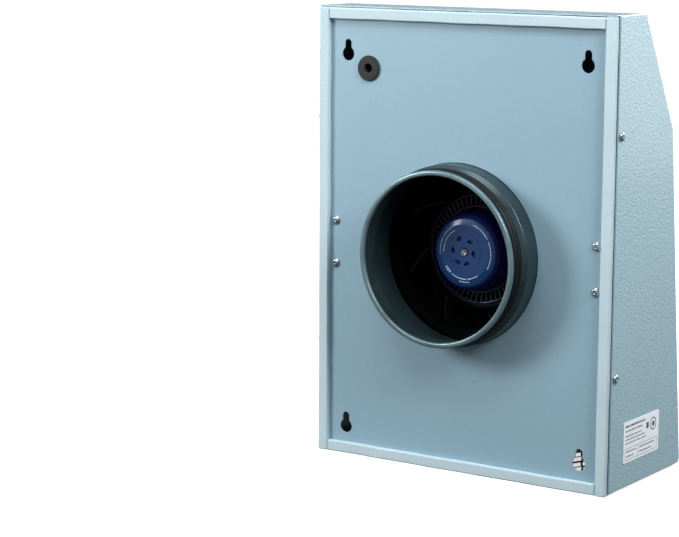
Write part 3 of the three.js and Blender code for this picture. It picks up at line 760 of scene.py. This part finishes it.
# ---------------------------------------------------------------- motor, fixed half
flange = Shape().lathe([
    (8.3, -23, 0.3), (12, -23, 0.5), (12, -66, 0.8), (35, -66, 0.6), (35, -69.5, 0.6), (26, -71.5, 1.0),
    (26, -79.5, 1.0), (40, -79.5, 0.6), (40, -83.7, 0.8), (8.3, -83.7, 0.3)], seg=96, n=4)
for i in range(16):
    a = (i + 0.5) * math.pi / 8
    c, s_ = math.cos(a), math.sin(a)
    sec = [(26 - 0.6, -79.9), (37.5, -79.9), (37.5, -78.8), (32.0, -72.0), (32.0, -70.6), (26 - 0.6, -71.2)]
    flange.loft([[(FAN[0] + r * c - t * s_, y, FAN[1] + r * s_ + t * c) for r, y in sec] for t in (-0.8, 0.8)])
make("motor_flange", flange, M_ALU, "casing", ("stator_flange",))

# ---------------------------------------------------------------- motor, turning half
CAN = [(3.7, -17.0, 0.2), (24, -17.2, 6), (29.5, -18.5, 4), (32.4, -22, 3), (34, -27, 6), (36, -38, 4), (36, -62, 0.5),
       (32.6, -62, 0.5), (32.6, -30, 3), (30.4, -23.6, 3), (26, -20.6, 2), (3.7, -20.4, 0.2)]
can_profile = rounded(CAN, n=5)


def can_y(r):
    top = [p for p in can_profile if p[1] > -23.5 and (p[1] > -19.8 or p[0] > 30.6)]
    top.sort()
    rs = [p[0] for p in top]
    return float(np.interp(r, rs, [p[1] for p in top]))


FACE_R = 16.0
can = Shape().lathe([(3.7, -18.3, 0.1), (FACE_R - 0.1, -18.3), (FACE_R, -17.15, 0.05)] + CAN[1:], seg=160, n=5)


def comma(cx, cz, ang, r=2.15):
    """Teardrop outline with a short tail that curls round the shaft."""
    pts = []
    for k in range(22):
        t = 2 * math.pi * k / 22
        pts.append((r * math.cos(t), r * math.sin(t) * 0.82))
    out = []
    for u, v in pts:
        if u > 0:
            u *= 1 + 0.65 * (u / r) ** 2
            v -= 0.35 * u * u / r * 0.55
        out.append((cx + u * math.cos(ang) - v * math.sin(ang), cz + u * math.sin(ang) + v * math.cos(ang)))
    return out


DIMPLES = [(6, 11.2), (-4.9, 9.7), (11.6, 0.8), (-9.1, -0.2), (6.1, -9.2), (-2.8, -9.7)]
commas = [comma(FAN[0] + dx * 0.97, FAN[1] + dz * 0.97, math.atan2(dz, dx) + math.pi / 2) for dx, dz in DIMPLES]
plate(can, circle(*FAN, FACE_R - 0.06, 96), [circle(*FAN, 3.7, 48)] + commas, -18.35, -17.12, 0.22, XZ)
make("rotor_shell", can, M_ROTOR, "rotor", ("rotor_can",))
pits = Shape()
plate(pits, circle(*FAN, 14.4, 64), [circle(*FAN, 4.2, 40)], -18.27, -18.2, 0.02, XZ, n=1)
make("rotor_dimple_floor", pits, M_DIMPLE, "rotor", ())


def arc_mark(shape, r0, r1, a0, a1):
    k = max(4, int(abs(a1 - a0) / 4))
    rows = []
    for i in range(k + 1):
        a = math.radians(a0 + (a1 - a0) * i / k)
        c, s = math.cos(a), math.sin(a)
        rows.append([(FAN[0] + r * c, can_y(r) + lift, FAN[1] + r * s) for r, lift in ((r0, 0.06), (r1, 0.06), (r1, -0.1), (r0, -0.1))])
    shape.loft(rows)


marks = Shape()
# the last row is one unbroken light arc at radius 25.4 to 26.0 mm, drawn in the print colour
for r0, r1, spans, step, gap in (
        (24.0, 24.9, [(-8, 28), (31, 66)], 3.6, 1.3), (20.4, 21.2, [(-2, 20), (24, 62)], 3.3, 1.3), (25.3, 26.1, [(109, 150), (154, 209)], 4.1, 1.1),
        (21.4, 23.6, [(-52, -36)], 6.0, 2.6), (22.6, 23.5, [(236, 262), (266, 302)], 3.8, 1.3), (25.4, 26.0, [(259, 282)], 24.0, 0.5)):
    for a0, a1 in spans:
        a = a0
        while a < a1 - 1:
            arc_mark(marks, r0, r1, a, min(a + step - gap, a1))
            a += step
make("rotor_marks", marks, M_MARK, "rotor", (), angle=60)

make("shaft_rod", Shape().lathe([
    (0, -18.0), (0.9, -17.6, 0.1), (1.5, -16.25, 0.15), (2.8, -16.2, 0.3), (3.2, -16.7, 0.2), (3.2, -79, 0.3), (0, -79)],
    seg=48), M_STEEL, "rotor", ("motor_shaft",))

vanes = Shape()
vanes.lathe([(46.0, -40, 0.5), (48, -40, 0.6), (48, -50, 0.5), (46.0, -50, 0.4)], seg=168, n=3)
vanes.lathe([(36.4, -40, 0.4), (38.4, -40, 0.4), (38.4, -50, 0.4), (36.4, -50, 0.4)], seg=168, n=3)
for i in range(56):
    a = (i + 0.0) * 2 * math.pi / 56
    sec = rounded([(-1.05, -49.6, 0.3), (1.05, -49.6, 0.3), (1.05, -40.5, 0.7), (-1.05, -40.5, 0.7)], n=2)
    rows = []
    for r, lean in ((37.8, 0.0), (40.6, 0.02), (43.6, 0.035), (46.6, 0.04)):
        c, s = math.cos(a + lean), math.sin(a + lean)
        rows.append([(FAN[0] + r * c - t * s, y, FAN[1] + r * s + t * c) for t, y in sec])
    vanes.loft(rows)
make("vane_ring", vanes, M_VANE, "rotor", ("cooling_vane_ring",))

wheel = Shape()
wheel.lathe([
    (48.5, -41.6, 0.3), (51, -42.2, 1.5), (57, -50, 6), (62, -64, 8), (68, -71, 5), (76, -72.6, 5), (97.5, -72.6, 0.5),
    (97.5, -74.2, 0.5), (75.6, -74.2, 5), (66.8, -72.4, 5), (60.4, -65, 8), (55.5, -51, 6), (50, -44, 1.5), (48.5, -43.6, 0.3)], seg=144, n=5)
wheel.lathe([
    (70.6, -26, 0.3), (72, -26, 0.4), (74, -31.4, 4), (80, -36.4, 5), (97.5, -41, 0.5), (97.5, -42.6, 0.5), (79.4, -38.1, 5),
    (72.6, -32.6, 4), (70.6, -27, 0.3)], seg=144, n=5)
HI = ([56.2, 71.4, 73.2, 79.7, 97.1], [-50.8, -30.0, -32.2, -37.4, -41.9])
LO = ([56.2, 61.2, 67.4, 75.8, 97.1], [-50.8, -64.5, -71.7, -73.3, -73.3])
for i in range(8):
    start = i * math.pi / 4
    rows = []
    for k in range(17):
        r = 56.6 + (97.0 - 56.6) * k / 16
        t = (r - 54) / 44
        a = start - 0.95 * t ** 0.9
        da = -0.95 * 0.9 * max(t, 0.02) ** -0.1 / 44
        d = np.array((math.cos(a) - r * math.sin(a) * da, math.sin(a) + r * math.cos(a) * da))
        d /= np.linalg.norm(d)
        nx, nz = -d[1] * 0.8, d[0] * 0.8
        x, z = r * math.cos(a), r * math.sin(a)
        hi, lo = float(np.interp(r, *HI)), float(np.interp(r, *LO))
        sec = [(1, lo), (1, lo * 0.5 + hi * 0.5), (1, hi - 0.3), (0.5, hi), (-0.5, hi), (-1, hi - 0.3), (-1, lo * 0.5 + hi * 0.5), (-1, lo)]
        rows.append([(FAN[0] + x + nx * u, y, FAN[1] + z + nz * u) for u, y in sec])
    wheel.loft(rows)
make("impeller_wheel", wheel, M_IMPELLER, "rotor", ("impeller",))


# ---------------------------------------------------------------- wiring
def catmull(points, per=8):
    p = [np.array(q, float) for q in points]
    p = [2 * p[0] - p[1]] + p + [2 * p[-1] - p[-2]]
    out = []
    for i in range(1, len(p) - 2):
        for k in range(per):
            t = k / per
            out.append(0.5 * (2 * p[i] + (p[i + 1] - p[i - 1]) * t + (2 * p[i - 1] - 5 * p[i] + 4 * p[i + 1] - p[i + 2]) * t * t
                              + (3 * p[i] - p[i - 1] - 3 * p[i + 1] + p[i + 2]) * t ** 3))
    out.append(p[-2])
    return out


def tube(shape, points, r, seg=16):
    rows = []
    side = None
    for i, p in enumerate(points):
        d = points[min(i + 1, len(points) - 1)] - points[max(i - 1, 0)]
        d = d / np.linalg.norm(d)
        if side is None:
            side = np.cross(d, (1.0, 0.0, 0.0))
        side = side - d * (side @ d)
        side /= np.linalg.norm(side)
        other = np.cross(d, side)
        rows.append([tuple(p + r * (math.cos(2 * math.pi * k / seg) * side + math.sin(2 * math.pi * k / seg) * other)) for k in range(seg)])
    return shape.loft(rows)


ROUTE = [(4, -81.6, 202), (4, -86, 202), (4, -91, 203.5), (4, -95.5, 209), (4, -97, 220), (4, -97, 240), (4, -96.5, 260),
         (3.4, -92, 278), (2.4, -81, 287), (1.4, -66, 289), (0.6, -50, 288.6), (0.1, -38, 289.4), (0, -31.6, 293), (0, -30, 297.5),
         (0, -30, 301), (0, -30, 304.5)]
make("lead_tube", tube(Shape(), catmull(ROUTE, 6), 2.48), M_LEAD, "casing", ("motor_lead",))
make("bush_ring", placed(Shape().lathe([
    (3.3, -2.8, 0.3), (6.6, -2.8, 0.4), (7, -0.4, 0.5), (4.6, -0.4, 0.2), (4.6, 2.6, 0.4), (3.3, 2.6, 0.3)], seg=40, centre=(0, 0)),
    (0, -30, 300), (0, 0, 1)), M_RUBBER, "casing", ("lead_bush",))
make("grommet_ring", Shape().lathe([
    (4, -2.9, 0.6), (10.6, -2.9, 0.7), (11.4, -4.6, 0.5), (8.7, -4.7, 0.2), (8.7, -6.5, 0.2), (11.4, -6.6, 0.5), (10.6, -8.4, 0.7),
    (4, -8.4, 0.6), (3.4, -5.65, 1.5)], seg=56, centre=(95, 338)), M_RUBBER, "casing", ("cable_grommet",))
make("web_bush", Shape().lathe([
    (3.0, -88.2, 0.4), (6.2, -88.2, 0.6), (6.6, -86.1, 0.4), (3.0, -86.1, 0.2)], seg=40, centre=(4, 202)), M_RUBBER, "casing", ())
cap = Shape().lathe([(0, 0), (14, 0, 0.8), (14, 51, 2.2), (12.3, 54, 1.2), (6, 54, 0.5), (6, 58, 0.8), (0, 58)], seg=64, centre=(0, 0))
make("run_capacitor", placed(cap, (52, -24.5, 310), (1, 0, 0)), M_CAP, "casing", ("capacitor",))

# ---------------------------------------------------------------- hood
BEND = 5.0


def outline_path(points, radius, n=6):
    """Rounded outline with the outward normal at each point."""
    pts = rounded([(p[0], p[1], radius if 0 < i < len(points) - 1 else 0) for i, p in enumerate(points)], closed=False, n=n)
    out = []
    for i, p in enumerate(pts):
        a, b = np.array(pts[max(0, i - 1)]), np.array(pts[min(len(pts) - 1, i + 1)])
        d = (b - a) / np.linalg.norm(b - a)
        out.append((np.array(p), np.array((d[1], -d[0])) * 1.0))
    return out


def clean_normals(path):
    """Normals point away from the casing's middle."""
    c = np.array((-60.0, 180.0))
    return [(p, n if (p - c) @ n > 0 else -n) for p, n in path]


# front sheet: top, shoulder, front and the return at the bottom
sheet_line = [(HOOD_BACK, TOP), (-50, TOP), (-105, 293), (-138, BOTTOM), (-120, BOTTOM)]
pts = rounded([(a, b, r) for (a, b), r in zip(sheet_line, (0, BEND, BEND, 4.2, 0))], closed=False, n=7)


def sheet_offset(points, d):
    out = []
    for i, p in enumerate(points):
        p = np.array(p)
        a = np.array(points[max(0, i - 1)])
        b = np.array(points[min(len(points) - 1, i + 1)])
        u = (p - a) if i else (b - p)
        v = (b - p) if i < len(points) - 1 else (p - a)
        u, v = u / np.linalg.norm(u), v / np.linalg.norm(v)
        nu, nv = np.array((-u[1], u[0])), np.array((-v[1], v[0]))
        out.append(tuple(p + (nu + nv) * d / (1 + nu @ nv)))
    return out


front = Shape()
HW = 142.6
rows = []
for x, d in ((-HW, 0.35), (-HW + 0.12, 0.1), (-HW + 0.4, 0.0)):
    rows.append((x, d))
rows += [(-HW + 1.0, 0.0)] + [(x, 0.0) for x in np.linspace(-130, 130, 14)] + [(HW - 1.0, 0.0)]
rows += [(HW - 0.4, 0.0), (HW - 0.12, 0.1), (HW, 0.35)]
secs = []
for x, d in rows:
    sag = 0.0
    o = sheet_offset(pts, d)
    i_ = sheet_offset(pts, SHEET - d)
    secs.append([(x, p[0], p[1]) for p in o] + [(x, p[0], p[1]) for p in i_[::-1]])
front.loft(secs)
make("front_sheet", front, M_HAMMER, "hood", ("hood_front",))

# side panels: flat sheet, rounded bend, joggled flange under the front sheet
side_line = [(HOOD_BACK, TOP), (-50, TOP), (-105, 293), (-138, BOTTOM), (HOOD_BACK, BOTTOM)]
side_pts = rounded([(a, b, r) for (a, b), r in zip(side_line, (0, BEND, BEND, 4.2, 0))], closed=False, n=7)


def densify(points, step=14.0, stops=(-20.0,)):
    out = [points[0]]
    for a, b in zip(points, points[1:]):
        a, b = np.array(a), np.array(b)
        ts = [k / max(1, int(np.linalg.norm(b - a) / step)) for k in range(1, max(1, int(np.linalg.norm(b - a) / step)))]
        for s in stops:
            if min(a[0], b[0]) < s < max(a[0], b[0]) and abs(a[1] - b[1]) < 1e-6:
                ts += [(s - a[0]) / (b[0] - a[0]) - 1e-4, (s - a[0]) / (b[0] - a[0]) + 1e-4]
        for t in sorted(ts):
            out.append(tuple(a + (b - a) * t))
        out.append(tuple(b))
    return out


side_pts = densify(side_pts)
CROSS = rounded([
    (3.7, 0.0), (0.0, 0.0, 1.6), (0.0, 1.85, 0.2), (0.5, 1.85, 0.25), (1.25, 1.6, 0.4), (1.75, 2.3, 0.4), (1.75, 15.9, 0.3), (2.9, 15.9, 0.3),
    (2.9, 2.2, 0.5), (3.25, 1.25, 0.3), (3.7, 1.2)], closed=False, n=4)


def side_panel(s):
    shape = Shape()
    rows = []
    loops = {d: sheet_offset(side_pts, d) for d in sorted({round(c[0], 6) for c in CROSS})}
    for i in range(len(side_pts)):
        plain = side_pts[i][0] > -20.0
        sec = []
        for d, x in CROSS:
            q = loops[round(d, 6)][i]
            if plain and x > 1.2:
                x = 1.2
            sec.append((s * (HALF - x), q[0], q[1]))
        rows.append(sec)
    shape.loft(rows, ring=False, caps=False)
    inner = loops[round(CROSS[0][0], 6)]
    for x in (HALF, HALF - SHEET):
        v, tris = fill([tuple(p) for p in inner], [])
        shape.add([(s * x, p[0], p[1]) for p in v], tris)
    # the straight rear edge, and the ends of the bend
    a, b = inner[0], inner[-1]
    shape.add([(s * HALF, a[0], a[1]), (s * HALF, b[0], b[1]), (s * (HALF - SHEET), b[0], b[1]), (s * (HALF - SHEET), a[0], a[1])], [(0, 1, 2, 3)])
    for row in (rows[0], rows[-1]):
        shape.add(row, [tuple(range(len(row)))])
    return shape


for s, name in ((-1, "left"), (1, "right")):
    make(f"side_sheet_{name}", side_panel(s), M_HAMMER, "hood", (f"hood_side_{name}",), angle=45)

# outlet guard: frame and expanded-metal strands
guard = Shape()
XY = lambda u, v, w: (u, v, w)
gx, gy0, gy1, dx, dy = 132.0, -123.0, -30.0, 16.5, 31.0
plate(guard, rect(-140, 140, -131, -22, 1.5), [rect(-gx, gx, gy0, gy1, 1.0)] + [circle(s * 136, y, 1.9, 20) for s in (-1, 1) for y in (-40, -110)],
      0.0, 1.6, 0.25, XY)
yc = (gy0 + gy1) / 2
for j in range(-9, 10):
    for side in (-1, 1):
        line = []
        for k in range(-24, 25):
            y = yc + k * dy / 8
            ph = abs(((k / 4) % 2) - 1)
            ease = 0.5 - 0.5 * math.cos(math.pi * (1 - ph))
            x = j * dx + side * (dx / 2 - 0.55) * (0.65 * (1 - ph) + 0.35 * ease)
            if gy0 - 0.8 <= y <= gy1 + 0.8 and abs(x) <= gx + 0.6:
                line.append(np.array((x, y, 0.8 + 0.22 * math.sin(math.pi * k / 4 + side))))
            elif len(line) > 2:
                break
            else:
                line = []
        if len(line) < 4:
            continue
        rows = []
        for i, p in enumerate(line):
            d = line[min(i + 1, len(line) - 1)] - line[max(i - 1, 0)]
            d = d / np.linalg.norm(d)
            n_ = np.array((d[1], -d[0], 0.0))
            tilt = 0.35 * side
            e1 = n_ * math.cos(tilt) + np.array((0, 0, 1.0)) * math.sin(tilt)
            e2 = np.cross(d, e1)
            rows.append([tuple(p + e1 * a + e2 * b) for a, b in ((-0.85, -0.4), (0.85, -0.4), (0.85, 0.4), (-0.85, 0.4))])
        guard.loft(rows)
make("guard_mesh", guard, M_GALV, "hood", ("outlet_guard",))


# ---------------------------------------------------------------- labels
def slope_place(zc, xc=-7.4):
    y = -105 - (293 - zc) * math.tan(SLOPE)
    up_ = np.array((0, math.sin(SLOPE), math.cos(SLOPE)))
    out = np.array((0, -math.cos(SLOPE), math.sin(SLOPE)))
    base = np.array((xc, y, zc))
    return lambda u, v, w: tuple(base + np.array((u, 0, 0)) + up_ * v + out * w)


def side_place(yc_, zc):
    # seen from -X, +Y lies to the left
    return lambda u, v, w: (-HALF - w, yc_ - u, zc + v)


def bars(shape, place, rows, w=0.14):
    for u0, u1, v0, v1 in rows:
        plate(shape, rect(u0, u1, v0, v1, 0.1, n=2), [], w - 0.03, w + 0.02, 0.01, place, n=1)


def words(u0, u1, v, h, seed, gap=0.9):
    """A line of generic dashes of uneven length."""
    out, u, k = [], u0, seed
    while u < u1 - 1.5:
        k = (k * 37 + 11) % 101
        l = 2.2 + 5.2 * (k / 101)
        out.append((u, min(u + l, u1), v - h / 2, v + h / 2))
        u += l + gap
    return out


def arrow(place, shape, w=0.14):
    line = catmull([(25.8, -0.4, 0), (14, 4.2, 0), (0.8, 5.8, 0), (-9.7, 3.8, 0), (-14, 2.0, 0)], 8)
    left, right_ = [], []
    for i, p in enumerate(line):
        d = line[min(i + 1, len(line) - 1)] - line[max(i - 1, 0)]
        d = d / np.linalg.norm(d)
        k = i / (len(line) - 1)
        half = 0.25 + 0.55 * k
        left.append((p[0] - d[1] * half, p[1] + d[0] * half))
        right_.append((p[0] + d[1] * half, p[1] - d[0] * half))
    plate(shape, left + right_[::-1], [], w - 0.03, w + 0.02, 0.01, place, n=1)
    plate(shape, [(-22, -1.6), (-10.6, 5.6), (-12.6, 3.4), (-10.0, 0.6)], [], w - 0.03, w + 0.02, 0.01, place, n=1)


for name, zc, kind in (("label_airflow", 271.2, "arrow"), ("label_notice_upper", 232.8, "text"), ("label_notice_lower", 193.6, "text")):
    place = slope_place(zc)
    base = Shape()
    plate(base, rect(-33.7, 33.7, -17.2, 17.2, 1.2), [], -0.4, 0.12, 0.05, place, n=2)
    make("film_" + name, base, M_LABEL, "hood", (name,))
    ink = Shape()
    if kind == "arrow":
        arrow(place, ink)
    else:
        rows_ = []
        for v0 in (10.6, -6.6):
            rows_ += [(-9.5, -1.0, v0 - 1.3, v0 + 1.3), (0.2, 9.0, v0 - 1.3, v0 + 1.3)]
            rows_ += words(-28, 28, v0 - 4.1, 1.1, 5)
            rows_ += words(-25, 26, v0 - 6.7, 1.1, 9)
            if zc < 200 and v0 < 0:
                rows_ += words(-9, 10, v0 - 9.0, 1.0, 3)
        bars(ink, place, rows_)
    make("ink_" + name, ink, M_INK_DARK if kind == "arrow" else M_INK, "hood", ())

place = side_place(-60.6, 35.4)
base = Shape()
plate(base, rect(-32.6, 32.6, -17.5, 17.5, 1.4), [], 0.02, 0.5, 0.05, place, n=2)
make("film_rating_label", base, M_LABEL, "hood", ("rating_label",))
ink = Shape()
rows_ = words(-29.5, 8, 13.6, 1.7, 7) + words(-29.5, 2, 9.6, 1.1, 3)
for k in range(3):
    rows_ += words(-29.5, 0 + 6 * k, 5.2 - 3.1 * k, 0.9, 5 + 3 * k)
rows_ += [(-29.5, 29.5, -5.6, -5.25), (-29.5, 29.5, -15.4, -15.05), (-29.5, -29.15, -15.4, -5.3), (29.15, 29.5, -15.4, -5.3), (-6.5, -6.15, -15.4, -5.3)]
rows_ += words(-27.5, -9, -8.2, 1.0, 4) + words(-27.5, -12, -12.2, 1.0, 8) + words(-3.5, 26, -8.2, 1.0, 6) + words(-3.5, 20, -12.2, 1.0, 2)
bars(ink, place, rows_, w=0.52)
for (cu, cv, r) in ((22.0, 7.4, 5.6),):
    plate(ink, circle(cu, cv, r, 40), [circle(cu, cv, r - 1.1, 40)], 0.49, 0.54, 0.01, place, n=1)
    plate(ink, circle(cu, cv, 2.4, 30), [], 0.49, 0.54, 0.01, place, n=1)
bars(ink, place, [(9.0, 13.4, 5.2, 10.4)], w=0.52)
make("ink_rating_label", ink, M_INK, "hood", ())

# ---------------------------------------------------------------- CAD nodes that stay, with softened edges
KEEP = {
    "stator_core": M_CORE, "winding_head_rear": M_COPPER, "winding_head_front": M_COPPER, "bearing_rear": M_STEEL,
    "bearing_front": M_STEEL, "rotor_cage": M_CORE, "shaft_circlip": M_STEEL, "terminal_box": M_GALV, "terminal_box_lid": M_GALV,
    "terminal_block": M_GREY, "capacitor_clip": M_GALV, "hood_nut_1": M_ZINC, "hood_nut_2": M_ZINC, "hood_nut_3": M_ZINC, "hood_nut_4": M_ZINC,
}
for name, m in KEEP.items():
    o = nodes[name]
    o.data.materials.clear()
    o.data.materials.append(m)
    bev = o.modifiers.new("edges", "BEVEL")
    bev.width = 0.00035
    bev.segments = 2
    bev.limit_method = "ANGLE"
    bev.angle_limit = math.radians(35)
    wn = o.modifiers.new("normals", "WEIGHTED_NORMAL")
    wn.weight = 80
# the hidden CAD nodes get a finish as well, so nothing is left plain
for name, o in nodes.items():
    if name not in KEEP:
        o.data.materials.clear()
        o.data.materials.append(M_HAMMER)

# ---------------------------------------------------------------- studio
FLOOR_Z = TRAY_Z[0] * MM - 0.0001


def stage_mesh(name, verts, faces, mat):
    me = bpy.data.meshes.new(name)
    me.from_pydata(verts, [], faces)
    me.materials.append(mat)
    o = bpy.data.objects.new(name, me)
    scene.collection.objects.link(o)
    return o


def floor_material():
    m = Mat("studio_floor", rough=0.9, spec=0.1)
    m.color(m.ramp(m.noise(3.0), [(0.3, (0.86, 0.86, 0.86)), (0.7, (0.88, 0.88, 0.88))]))
    m.b.inputs["Emission Color"].default_value = (1, 1, 1, 1)
    m.b.inputs["Emission Strength"].default_value = 0.66
    return m.m


S = 60.0
floor = stage_mesh("studio_floor", [(-S, -S, FLOOR_Z), (S, -S, FLOOR_Z), (S, S, FLOOR_Z), (-S, S, FLOOR_Z)], [(0, 1, 2, 3)], floor_material())
floor.visible_diffuse = False
floor.visible_glossy = False

# soft surroundings: brighter overhead, dimmer towards the ground
world = bpy.data.worlds.new("studio")
scene.world = world
world.use_nodes = True
wt = world.node_tree
bg = next(n for n in wt.nodes if n.type == "BACKGROUND")
tc = wt.nodes.new("ShaderNodeTexCoord")
sep = wt.nodes.new("ShaderNodeSeparateXYZ")
ramp = wt.nodes.new("ShaderNodeValToRGB")
half = wt.nodes.new("ShaderNodeMath")
half.operation = "MULTIPLY_ADD"
half.inputs[1].default_value = 0.5
half.inputs[2].default_value = 0.5
wt.links.new(tc.outputs["Generated"], sep.inputs[0])
wt.links.new(sep.outputs["Z"], half.inputs[0])
wt.links.new(half.outputs[0], ramp.inputs["Fac"])
for e, (pos, v) in zip((ramp.color_ramp.elements[0], ramp.color_ramp.elements[1]), ((0.30, 0.08), (0.95, 0.62))):
    e.position = pos
    e.color = (v, v, v, 1.0)
wt.links.new(ramp.outputs["Color"], bg.inputs["Color"])
bg.inputs["Strength"].default_value = 1.0
white = wt.nodes.new("ShaderNodeBackground")
white.inputs["Color"].default_value = (1.0, 1.0, 1.0, 1.0)
rays = wt.nodes.new("ShaderNodeLightPath")
seen = wt.nodes.new("ShaderNodeMixShader")
sky_out = next(n for n in wt.nodes if n.type == "OUTPUT_WORLD")
wt.links.new(rays.outputs["Is Camera Ray"], seen.inputs[0])
wt.links.new(bg.outputs[0], seen.inputs[1])
wt.links.new(white.outputs[0], seen.inputs[2])
wt.links.new(seen.outputs[0], sky_out.inputs["Surface"])


def softbox(name, location, target, size, power, color=(1, 1, 1), spread=180):
    d = bpy.data.lights.new(name, "AREA")
    d.shape = "RECTANGLE"
    d.size, d.size_y = size
    d.energy = power
    d.color = color
    d.spread = math.radians(spread)
    o = bpy.data.objects.new(name, d)
    scene.collection.objects.link(o)
    o.location = location
    o.rotation_euler = (Vector(target) - Vector(location)).to_track_quat("-Z", "Y").to_euler()
    return o


MID_ = (0, -0.05, 0.25)
softbox("key_rear", (0.98, 0.96, 0.68), MID_, (0.42, 0.42), 14.2)
softbox("top_rear", (0.0, 0.7, 1.35), MID_, (0.8, 0.5), 6.5)
softbox("wall_front", (-1.15, -2.3, 0.54), (-0.146, -0.06, 0.28), (1.7, 1.15), 6.2)
softbox("side_rear", (-1.0, 0.35, 0.95), (-0.146, -0.06, 0.42), (0.4, 0.5), 2.3, spread=75)
softbox("key_front", (-0.8, -1.35, 0.85), MID_, (0.6, 0.6), 16)
softbox("side_front", (1.15, -0.5, 0.85), MID_, (0.5, 0.6), 7.5)
